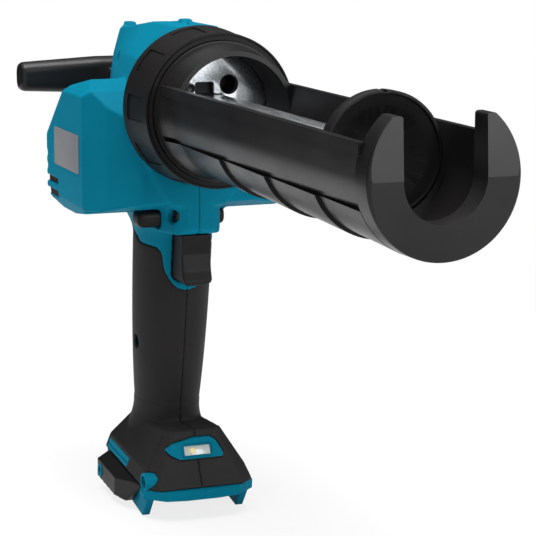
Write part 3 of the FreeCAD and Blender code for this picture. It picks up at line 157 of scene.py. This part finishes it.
# Top fins over the seam: middle along X and height of the top, both in millimetres
TOP_FINS = {"top_fin_rear": (-122.0, 31.4), "top_fin_front": (-36.0, 37.7)}
FIN_HALF_LONG = 4.0 * MM
FIN_HALF_WIDE = 2.6 * MM
FIN_CORNER = 1.2 * MM
FIN_SUNK = 4.0 * MM
# Share of the outline and of the depth below the top at each level of a fin
FIN_LEVELS = ((1.3, 1.0), (0.98, 0.45), (0.86, 0.12), (0.78, 0.03), (0.64, 0.0))
CORNER_STEPS = 4
# Painted shade in the vents: dark sheets set into the shell across the vents, in millimetres: height and
# rear end of each level, then the plan
LINER_LEVELS = ((-27.0, -109.0), (-33.0, -110.7), (-42.0, -107.3), (-49.2, -99.2))
LINER_FRONT = -80.0
LINER_SIDE = 47.8
LINER_CORNER = -101.5
LINER_CHAMFER = 0.9
LINER_INNER = 34.0
LINER_THICK = 1.0

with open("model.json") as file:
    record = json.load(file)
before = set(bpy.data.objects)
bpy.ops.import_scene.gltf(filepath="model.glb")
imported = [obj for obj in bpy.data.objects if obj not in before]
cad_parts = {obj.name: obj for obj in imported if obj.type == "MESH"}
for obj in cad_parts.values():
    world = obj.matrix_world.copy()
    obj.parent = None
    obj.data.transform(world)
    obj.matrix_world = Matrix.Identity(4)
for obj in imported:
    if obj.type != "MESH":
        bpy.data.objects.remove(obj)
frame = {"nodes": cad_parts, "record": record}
cad_low, cad_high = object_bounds()
nodes = frame["nodes"]
centre = (cad_low + cad_high) / 2.0


def add_object(name, data):
    added = bpy.data.objects.new(name, data)
    bpy.context.scene.collection.objects.link(added)
    return added


def mesh_of(name, shape, material):
    mesh = bpy.data.meshes.new(name)
    shape.to_mesh(mesh)
    shape.free()
    mesh.materials.append(material)
    return mesh


# Materials

def new_material(name):
    material = bpy.data.materials.new(name)
    material.use_nodes = True
    tree = material.node_tree
    shader = tree.nodes["Principled BSDF"]
    return material, tree, shader


def add_noise(tree, scale, detail, roughness):
    coords = tree.nodes.new("ShaderNodeTexCoord")
    noise = tree.nodes.new("ShaderNodeTexNoise")
    noise.inputs["Scale"].default_value = scale
    noise.inputs["Detail"].default_value = detail
    noise.inputs["Roughness"].default_value = roughness
    tree.links.new(coords.outputs["Object"], noise.inputs["Vector"])
    return noise


def add_range(tree, source, low, high):
    spread = tree.nodes.new("ShaderNodeMapRange")
    spread.inputs["From Min"].default_value = GLOSS_FROM
    spread.inputs["From Max"].default_value = GLOSS_TO
    spread.inputs["To Min"].default_value = low
    spread.inputs["To Max"].default_value = high
    tree.links.new(source, spread.inputs["Value"])
    return spread.outputs["Result"]


def add_tint(tree, factor, colour, low, high):
    # The colour a little darker and a little lighter over the surface
    ramp = tree.nodes.new("ShaderNodeValToRGB")
    for stop, share in ((0, low), (1, high)):
        ramp.color_ramp.elements[stop].color = [min(channel * share, 1.0) for channel in colour] + [1.0]
    ramp.color_ramp.elements[0].position = TINT_FROM
    ramp.color_ramp.elements[1].position = TINT_TO
    tree.links.new(factor, ramp.inputs["Fac"])
    return ramp.outputs["Color"]


def add_bump(tree, height, strength, distance, normal=None):
    bump = tree.nodes.new("ShaderNodeBump")
    bump.inputs["Strength"].default_value = strength
    bump.inputs["Distance"].default_value = distance
    tree.links.new(height, bump.inputs["Height"])
    if normal is not None:
        tree.links.new(normal, bump.inputs["Normal"])
    return bump.outputs["Normal"]


def moulded(name, colour, rough, grain, grain_deep, shine, spread=0.08):
    # Moulded plastic: spark-eroded grain, faint flow marks and a slight change of gloss
    material, tree, shader = new_material(name)
    fine = add_noise(tree, grain, detail=2.0, roughness=0.5)
    broad = add_noise(tree, FLOW_SCALE, detail=3.0, roughness=0.6)
    tint = add_tint(tree, broad.outputs["Fac"], colour, 1.0 - spread, 1.0 + spread)
    tree.links.new(tint, shader.inputs["Base Color"])
    gloss = add_range(tree, broad.outputs["Fac"], rough - 0.04, rough + 0.05)
    tree.links.new(gloss, shader.inputs["Roughness"])
    wave = add_noise(tree, WAVE_SCALE, detail=1.0, roughness=0.4)
    soft = add_bump(tree, wave.outputs["Fac"], strength=0.05, distance=WAVE_HIGH)
    normal = add_bump(tree, fine.outputs["Fac"], grain_deep, GRAIN_HIGH, soft)
    tree.links.new(normal, shader.inputs["Normal"])
    shader.inputs["Specular IOR Level"].default_value = shine
    return material


def metal(name, colour, rough, stretch, deep):
    # Bare metal with a fine grain, drawn out into lines where the stretch is uneven
    material, tree, shader = new_material(name)
    coords = tree.nodes.new("ShaderNodeTexCoord")
    mapping = tree.nodes.new("ShaderNodeMapping")
    mapping.inputs["Scale"].default_value = stretch
    noise = tree.nodes.new("ShaderNodeTexNoise")
    noise.inputs["Scale"].default_value = 1.0
    noise.inputs["Detail"].default_value = 5.0
    tree.links.new(coords.outputs["Object"], mapping.inputs["Vector"])
    tree.links.new(mapping.outputs["Vector"], noise.inputs["Vector"])
    broad = add_noise(tree, METAL_SCALE, detail=3.0, roughness=0.6)
    tint = add_tint(tree, broad.outputs["Fac"], colour, low=0.88, high=1.08)
    tree.links.new(tint, shader.inputs["Base Color"])
    gloss = add_range(tree, noise.outputs["Fac"], rough - 0.07, rough + 0.1)
    tree.links.new(gloss, shader.inputs["Roughness"])
    normal = add_bump(tree, noise.outputs["Fac"], deep, METAL_HIGH)
    tree.links.new(normal, shader.inputs["Normal"])
    shader.inputs["Metallic"].default_value = 1.0
    return material


def plated_zinc(name):
    # Bright plating with the mottled grain of zinc crystals
    material, tree, shader = new_material(name)
    coords = tree.nodes.new("ShaderNodeTexCoord")
    cells = tree.nodes.new("ShaderNodeTexVoronoi")
    cells.inputs["Scale"].default_value = ZINC_CRYSTALS
    tree.links.new(coords.outputs["Object"], cells.inputs["Vector"])
    grain = add_noise(tree, ZINC_GRAIN, detail=4.0, roughness=0.65)
    tint = add_tint(tree, grain.outputs["Fac"], ZINC, low=0.72, high=1.12)
    tree.links.new(tint, shader.inputs["Base Color"])
    gloss = add_range(tree, grain.outputs["Fac"], low=0.30, high=0.48)
    tree.links.new(gloss, shader.inputs["Roughness"])
    normal = add_bump(tree, cells.outputs["Distance"], strength=0.06, distance=METAL_HIGH)
    tree.links.new(normal, shader.inputs["Normal"])
    shader.inputs["Metallic"].default_value = 1.0
    return material


def lamp_lens(name):
    # Clear lens over a pale reflector, with fine ribs
    material, tree, shader = new_material(name)
    coords = tree.nodes.new("ShaderNodeTexCoord")
    ribs = tree.nodes.new("ShaderNodeTexWave")
    ribs.bands_direction = "Y"
    ribs.inputs["Scale"].default_value = LENS_RIBS
    tree.links.new(coords.outputs["Object"], ribs.inputs["Vector"])
    broad = add_noise(tree, LENS_CLOUD, detail=2.0, roughness=0.5)
    tint = add_tint(tree, broad.outputs["Fac"], LENS, low=0.85, high=1.1)
    tree.links.new(tint, shader.inputs["Base Color"])
    gloss = add_range(tree, broad.outputs["Fac"], low=0.08, high=0.16)
    tree.links.new(gloss, shader.inputs["Roughness"])
    normal = add_bump(tree, ribs.outputs["Fac"], strength=0.1, distance=LENS_RIB_HIGH)
    tree.links.new(normal, shader.inputs["Normal"])
    shader.inputs["Transmission Weight"].default_value = 0.15
    shader.inputs["Coat Weight"].default_value = 0.6
    return material


def make_materials():
    # Every material by its slot or its own name
    plastics = {
        "teal_plastic": dict(colour=TEAL, rough=0.46, grain=2600.0, grain_deep=0.10, shine=0.015,
                             spread=0.04),
        "black_plastic": dict(colour=BLACK, rough=0.42, grain=2200.0, grain_deep=0.22, shine=0.13),
        "holder_black": dict(colour=BLACK, rough=0.32, grain=2000.0, grain_deep=0.16, shine=0.24),
        "grip_rubber": dict(colour=RUBBER, rough=0.58, grain=1700.0, grain_deep=0.45, shine=0.13),
        "grey_plate": dict(colour=PLATE_GREY, rough=0.48, grain=3000.0, grain_deep=0.08, shine=0.3),
        "lamp_chip": dict(colour=CHIP, rough=0.30, grain=2400.0, grain_deep=0.10, shine=0.5),
        "board": dict(colour=BOARD, rough=0.35, grain=900.0, grain_deep=0.10, shine=0.4),
    }
    metals = {
        "steel": dict(colour=STEEL, rough=0.28, stretch=(60.0, 2600.0, 2600.0), deep=0.10),
        "dark_screw": dict(colour=DARK_STEEL, rough=0.40, stretch=(900.0, 900.0, 900.0), deep=0.08),
        "cast_alloy": dict(colour=ALLOY, rough=0.55, stretch=(800.0, 800.0, 800.0), deep=0.20),
        "bush_brass": dict(colour=BRASS, rough=0.38, stretch=(700.0, 700.0, 700.0), deep=0.12),
    }
    made = {"zinc": plated_zinc("zinc"), "lamp_lens": lamp_lens("lamp_lens")}
    for name, looks in plastics.items():
        made[name] = moulded(name, **looks)
    for name, looks in metals.items():
        made[name] = metal(name, **looks)
    return made


def dress_all(materials):
    for part in frame["record"]["subparts"]:
        node = part["node"]
        mesh = nodes[node].data
        mesh.materials.clear()
        mesh.materials.append(materials[OTHER_PLASTIC.get(node, part["material_slot"])])


# Softening of the CAD pieces

def add_weld(piece):
    weld = piece.modifiers.new("weld", "WELD")
    weld.merge_threshold = WELD_REACH


def soften(piece, voxel, passes):
    # Even, rounded moulding: remeshed finely, then relaxed a little
    add_weld(piece)
    remesh = piece.modifiers.new("remesh", "REMESH")
    remesh.mode = "VOXEL"
    remesh.voxel_size = voxel
    remesh.use_smooth_shade = True
    relax = piece.modifiers.new("relax", "SMOOTH")
    relax.factor = RELAX_SHARE
    relax.iterations = passes


def add_compare(group, source, operation, level):
    compare = group.nodes.new("FunctionNodeCompare")
    compare.data_type = "FLOAT"
    compare.operation = operation
    compare.inputs[1].default_value = level
    group.links.new(source, compare.inputs[0])
    return compare.outputs["Result"]


def add_logic(group, operation, first, second):
    logic = group.nodes.new("FunctionNodeBooleanMath")
    logic.operation = operation
    group.links.new(first, logic.inputs[0])
    group.links.new(second, logic.inputs[1])
    return logic.outputs["Boolean"]


def shade_group(name, crisp_ends):
    # Smooth faces, with the edges sharper than the angle kept crisp, and the folds of a front end too
    group = bpy.data.node_groups.new(name, "GeometryNodeTree")
    group.interface.new_socket("Geometry", in_out="INPUT", socket_type="NodeSocketGeometry")
    group.interface.new_socket("Geometry", in_out="OUTPUT", socket_type="NodeSocketGeometry")
    start = group.nodes.new("NodeGroupInput")
    faces = group.nodes.new("GeometryNodeSetShadeSmooth")
    edges = group.nodes.new("GeometryNodeSetShadeSmooth")
    edges.domain = "EDGE"
    turn = group.nodes.new("GeometryNodeInputMeshEdgeAngle")
    angle = turn.outputs["Unsigned Angle"]
    gentle = add_compare(group, angle, "LESS_THAN", SHADE_ANGLE)
    if crisp_ends:
        normal = group.nodes.new("GeometryNodeInputNormal")
        parts = group.nodes.new("ShaderNodeSeparateXYZ")
        group.links.new(normal.outputs["Normal"], parts.inputs["Vector"])
        forward = add_compare(group, parts.outputs["X"], "GREATER_THAN", END_FACING)
        folded = add_compare(group, angle, "GREATER_THAN", FOLD_ANGLE)
        gentle = add_logic(group, "NIMPLY", gentle, add_logic(group, "AND", forward, folded))
    end = group.nodes.new("NodeGroupOutput")
    group.links.new(start.outputs[0], faces.inputs["Geometry"])
    group.links.new(faces.outputs["Geometry"], edges.inputs["Geometry"])
    group.links.new(gentle, edges.inputs["Shade Smooth"])
    group.links.new(edges.outputs["Geometry"], end.inputs[0])
    return group


def bevel(piece, width):
    flat = piece.modifiers.new("flat", "DECIMATE")
    flat.decimate_type = "DISSOLVE"
    flat.angle_limit = FLAT_ANGLE
    edge = piece.modifiers.new("bevel", "BEVEL")
    edge.width = width
    edge.segments = BEVEL_STEPS
    edge.limit_method = "ANGLE"
    edge.angle_limit = EDGE_ANGLE


def soften_all():
    plain = shade_group("smooth_by_angle", False)
    folded = shade_group("smooth_with_folds", True)
    for name, piece in nodes.items():
        if name in SOFT_PIECES:
            voxel, passes = SOFT_PIECES[name]
            soften(piece, voxel * MM, passes)
            continue
        add_weld(piece)
        if name in BEVEL_PIECES:
            bevel(piece, BEVEL_PIECES[name] * MM)
        shade = piece.modifiers.new("shade", "NODES")
        shade.node_group = folded if name == "cartridge_holder" else plain
        if name in FLAT_PIECES:
            flat = piece.modifiers.new("flat_faces", "WEIGHTED_NORMAL")
            flat.keep_sharp = True


# Small trim that rides on the body

def new_piece(name, shape, material):
    for face in shape.faces:
        face.smooth = True
    piece = add_object(name, mesh_of(name, shape, material))
    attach(piece, "body")
    return piece


def add_ring(shape, points):
    return [shape.verts.new(point) for point in points]


def join_rings(shape, rings, closed):
    # Quads between each ring of points and the next, with a lid at both ends unless the rings close up
    pairs = list(zip(rings, rings[1:]))
    if closed:
        pairs.append((rings[-1], rings[0]))
    else:
        shape.faces.new(rings[-1])
        shape.faces.new(list(reversed(rings[0])))
    for first, second in pairs:
        count = len(first)
        for index in range(count):
            after = (index + 1) % count
            shape.faces.new((first[index], first[after], second[after], second[index]))
    bmesh.ops.recalc_face_normals(shape, faces=shape.faces)


def hook_ring(name, mount, material):
    # A bush in the hook hole, with a rounded collar on the face of the block
    axis = Vector(mount["axis"]).normalized()
    mouth = Vector(mount["pos_m"]) + axis * mount["dims"]["length_mm"] * MM / 2.0
    side = axis.orthogonal().normalized()
    other = axis.cross(side)
    shoulder = RING_PROUD / 2.0
    profile = [(RING_INNER, -RING_SUNK), (RING_INNER, shoulder), (RING_INNER + shoulder, RING_PROUD),
               (RING_OUTER - shoulder, RING_PROUD), (RING_OUTER, shoulder), (RING_OUTER, -shoulder)]
    shape = bmesh.new()
    rings = []
    for radius, rise in profile:
        points = []
        for index in range(RING_SIDES):
            turn = 2.0 * math.pi * index / RING_SIDES
            points.append(mouth + axis * rise + (side * math.cos(turn) + other * math.sin(turn)) * radius)
        rings.append(add_ring(shape, points))
    join_rings(shape, rings, True)
    new_piece(name, shape, material)


def face_frame(node, direction):
    # Middle, normal, both directions and half sizes of the flat face that looks most along a direction
    mesh = nodes[node].data
    facing = max(mesh.polygons, key=lambda polygon: polygon.normal.dot(direction) * polygon.area)
    normal = facing.normal.copy()
    across = Vector((0.0, 1.0, 0.0))
    up = normal.cross(across).normalized()
    points = []
    for polygon in mesh.polygons:
        if polygon.normal.dot(normal) > SAME_FACE:
            points.extend(mesh.vertices[index].co for index in polygon.vertices)
    level = points[0].dot(normal)
    wide = [point.dot(across) for point in points]
    high = [point.dot(up) for point in points]
    middle = (normal * level + across * (min(wide) + max(wide)) / 2.0 + up * (min(high) + max(high)) / 2.0)
    return middle, normal, across, up, (max(wide) - min(wide)) / 2.0, (max(high) - min(high)) / 2.0


def rounded_outline(half_wide, half_high, corner, steps):
    points = []
    for quarter, (x_sign, y_sign) in enumerate(((1, 1), (-1, 1), (-1, -1), (1, -1))):
        for step in range(steps + 1):
            turn = math.pi / 2.0 * (quarter + step / steps)
            points.append((x_sign * (half_wide - corner) + corner * math.cos(turn),
                           y_sign * (half_high - corner) + corner * math.sin(turn)))
    return points


def lamp_frame(material):
    # A thin raised rim on the bezel around the lens
    middle, normal, across, up, half_wide, half_high = face_frame("led_lens", Vector(LENS_FACING))
    outline = rounded_outline(half_wide + FRAME_MARGIN, half_high + FRAME_MARGIN, FRAME_MARGIN,
                              FRAME_CORNER_STEPS)
    base = middle + normal * FRAME_RISE
    shape = bmesh.new()
    rings = []
    for x, y in outline:
        points = []
        for step in range(FRAME_SIDES):
            turn = 2.0 * math.pi * step / FRAME_SIDES
            reach = 1.0 + FRAME_THICK * math.cos(turn) / math.hypot(x, y)
            points.append(base + across * x * reach + up * y * reach + normal * FRAME_THICK * math.sin(turn))
        rings.append(add_ring(shape, points))
    join_rings(shape, rings, True)
    new_piece("lamp_frame", shape, material)


def lamp_chip(material):
    # The small lamp in the window, as a low rounded pad on the face of the lens
    middle, normal, across, up = face_frame("led_lens", Vector(LENS_FACING))[:4]
    base = middle + across * CHIP_SHIFT
    shape = bmesh.new()
    rings = []
    for share, rise in CHIP_LEVELS:
        half = CHIP_HALF * share
        outline = rounded_outline(half, half, half * CHIP_CORNER, CORNER_STEPS)
        level = base + normal * CHIP_HIGH * rise
        rings.append(add_ring(shape, [level + across * x + up * y for x, y in outline]))
    join_rings(shape, rings, False)
    new_piece("lamp_chip", shape, material)


def top_fin(name, middle_x, top_z, material):
    # A low fin across the housing seam, drawn in towards its rounded top
    shape = bmesh.new()
    rings = []
    for share, drop in FIN_LEVELS:
        outline = rounded_outline(FIN_HALF_LONG * share, FIN_HALF_WIDE * share, FIN_CORNER * share,
                                  CORNER_STEPS)
        z = top_z * MM - FIN_SUNK * drop
        rings.append(add_ring(shape, [(middle_x * MM + x, y, z) for x, y in outline]))
    join_rings(shape, rings, False)
    new_piece(name, shape, material)


def vent_shade_sheet(name, side, material):
    # A dark sheet set into the shell, round its rear corner and across the vents, as painted shade seen
    # through the vent slots
    shape = bmesh.new()
    rings = []
    for z, rear in LINER_LEVELS:
        corner = max(LINER_CORNER, rear)
        turn_y = LINER_SIDE - LINER_CHAMFER * (corner - rear)
        outer = [(LINER_FRONT, LINER_SIDE), (corner, LINER_SIDE), (rear, turn_y), (rear, LINER_INNER)]
        inner = [(x + LINER_THICK, y - LINER_THICK) for x, y in reversed(outer)]
        loop = [Vector((x, y * side, z)) * MM for x, y in outer + inner]
        rings.append(add_ring(shape, loop))
    join_rings(shape, rings, False)
    piece = new_piece(name, shape, material)
    for face in piece.data.polygons:
        face.use_smooth = False


def add_trim(materials):
    for mount in frame["record"]["mounts"]:
        if mount["name"].startswith("hook_hole"):
            hook_ring("hook_ring_" + mount["name"].split("_")[-1], mount, materials["teal_plastic"])
    lamp_frame(materials["teal_plastic"])
    lamp_chip(materials["lamp_chip"])
    for name, (middle_x, top_z) in TOP_FINS.items():
        top_fin(name, middle_x, top_z, materials["teal_plastic"])
    # Dark sheets behind the vent slots, as painted shade
    vent_shade_sheet("vent_shade_sheet_right", -1.0, materials["black_plastic"])
    vent_shade_sheet("vent_shade_sheet_left", 1.0, materials["black_plastic"])


# Camera, light and floor

def make_camera():
    azimuth = math.radians(CAMERA_AZIMUTH)
    elevation = math.radians(CAMERA_ELEVATION)
    roll = math.radians(CAMERA_ROLL)
    back = Vector((math.sin(azimuth) * math.cos(elevation), -math.cos(azimuth) * math.cos(elevation),
                   math.sin(elevation)))
    flat_right = Vector((math.cos(azimuth), math.sin(azimuth), 0.0))
    flat_up = back.cross(flat_right)
    right = flat_right * math.cos(roll) + flat_up * math.sin(roll)
    up = flat_up * math.cos(roll) - flat_right * math.sin(roll)
    data = bpy.data.cameras.new("camera")
    data.sensor_width = SENSOR_WIDTH
    data.lens = CAMERA_LENS
    data.clip_start = CLIP_NEAR
    data.clip_end = CLIP_FAR
    camera = add_object("camera", data)
    rotation = Matrix((right, up, back)).transposed().to_4x4()
    camera.matrix_world = Matrix.Translation(CAMERA_PLACE) @ rotation
    bpy.context.scene.camera = camera


def add_lamp(name, offset, size, power, mirrored=True):
    data = bpy.data.lights.new(name, "AREA")
    data.shape = "DISK"
    data.size = size
    data.energy = power
    lamp = add_object(name, data)
    lamp.location = centre + Vector(offset)
    lamp.rotation_mode = "QUATERNION"
    lamp.rotation_quaternion = (-Vector(offset)).to_track_quat("-Z", "Y")
    lamp.visible_glossy = mirrored


def background_share(tree):
    # One for rays that should see the plain background: from the camera, mirrored or through glass
    path = tree.nodes.new("ShaderNodeLightPath")
    share = path.outputs["Is Camera Ray"]
    for kind in ("Is Glossy Ray", "Is Transmission Ray"):
        either = tree.nodes.new("ShaderNodeMath")
        either.operation = "MAXIMUM"
        tree.links.new(share, either.inputs[0])
        tree.links.new(path.outputs[kind], either.inputs[1])
        share = either.outputs["Value"]
    return share


def make_light():
    world = bpy.data.worlds.new("studio")
    world.use_nodes = True
    bpy.context.scene.world = world
    tree = world.node_tree
    tree.nodes.clear()
    mix = tree.nodes.new("ShaderNodeMixShader")
    out = tree.nodes.new("ShaderNodeOutputWorld")
    tree.links.new(background_share(tree), mix.inputs["Fac"])
    for socket, strength in ((1, SKY), (2, 1.0)):
        sky = tree.nodes.new("ShaderNodeBackground")
        sky.inputs["Color"].default_value = WHITE
        sky.inputs["Strength"].default_value = strength
        tree.links.new(sky.outputs["Background"], mix.inputs[socket])
    tree.links.new(mix.outputs["Shader"], out.inputs["Surface"])
    add_lamp("key", KEY_PLACE, KEY_SIZE, KEY_POWER)
    add_lamp("front", FRONT_PLACE, FRONT_SIZE, FRONT_POWER)
    add_lamp("side", SIDE_PLACE, SIDE_SIZE, SIDE_POWER, False)


def make_floor():
    material, tree = new_material("floor")[:2]
    tree.nodes.clear()
    diffuse = tree.nodes.new("ShaderNodeBsdfDiffuse")
    diffuse.inputs["Color"].default_value = (FLOOR_GREY, FLOOR_GREY, FLOOR_GREY, 1.0)
    glow = tree.nodes.new("ShaderNodeEmission")
    glow.inputs["Color"].default_value = WHITE
    coords = tree.nodes.new("ShaderNodeTexCoord")
    reach = tree.nodes.new("ShaderNodeVectorMath")
    reach.operation = "LENGTH"
    fade = tree.nodes.new("ShaderNodeMapRange")
    fade.inputs["From Min"].default_value = FLOOR_FADE_FROM
    fade.inputs["From Max"].default_value = FLOOR_FADE_TO
    fade.inputs["To Min"].default_value = FLOOR_GLOW
    fade.inputs["To Max"].default_value = 1.0
    share = tree.nodes.new("ShaderNodeMath")
    share.operation = "MULTIPLY"
    mix = tree.nodes.new("ShaderNodeMixShader")
    out = tree.nodes.new("ShaderNodeOutputMaterial")
    tree.links.new(coords.outputs["Object"], reach.inputs[0])
    tree.links.new(reach.outputs["Value"], fade.inputs["Value"])
    tree.links.new(background_share(tree), share.inputs[0])
    tree.links.new(fade.outputs["Result"], share.inputs[1])
    tree.links.new(share.outputs["Value"], mix.inputs["Fac"])
    tree.links.new(diffuse.outputs["BSDF"], mix.inputs[1])
    tree.links.new(glow.outputs["Emission"], mix.inputs[2])
    tree.links.new(mix.outputs["Shader"], out.inputs["Surface"])
    shape = bmesh.new()
    bmesh.ops.create_grid(shape, x_segments=1, y_segments=1, size=FLOOR_HALF)
    floor = add_object("floor", mesh_of("floor", shape, material))
    floor.location = (0.0, 0.0, cad_low.z)


def make_card():
    # A dark studio card from the left-hand side round the rear to the right, seen only in reflections
    shape = bmesh.new()
    rings = []
    for index in range(CARD_STEPS + 1):
        turn = math.radians(CARD_FROM + CARD_SWEEP * index / CARD_STEPS)
        x = centre.x + CARD_REACH * math.cos(turn)
        y = centre.y + CARD_REACH * math.sin(turn)
        rings.append(add_ring(shape, [(x, y, cad_low.z + CARD_RAISED), (x, y, centre.z + CARD_HIGH)]))
    for first, second in zip(rings, rings[1:]):
        shape.faces.new((first[0], second[0], second[1], first[1]))
    material, _, shader = new_material("card")
    shader.inputs["Base Color"].default_value = (CARD_GREY, CARD_GREY, CARD_GREY, 1.0)
    shader.inputs["Roughness"].default_value = 1.0
    shader.inputs["Specular IOR Level"].default_value = 0.0
    card = add_object("card", mesh_of("card", shape, material))
    card.visible_camera = False
    card.visible_diffuse = False
    card.visible_transmission = False
    card.visible_shadow = False


bpy.context.scene.view_settings.view_transform = "Standard"
materials = make_materials()
dress_all(materials)
soften_all()
add_trim(materials)
make_camera()
make_light()
make_floor()
make_card()
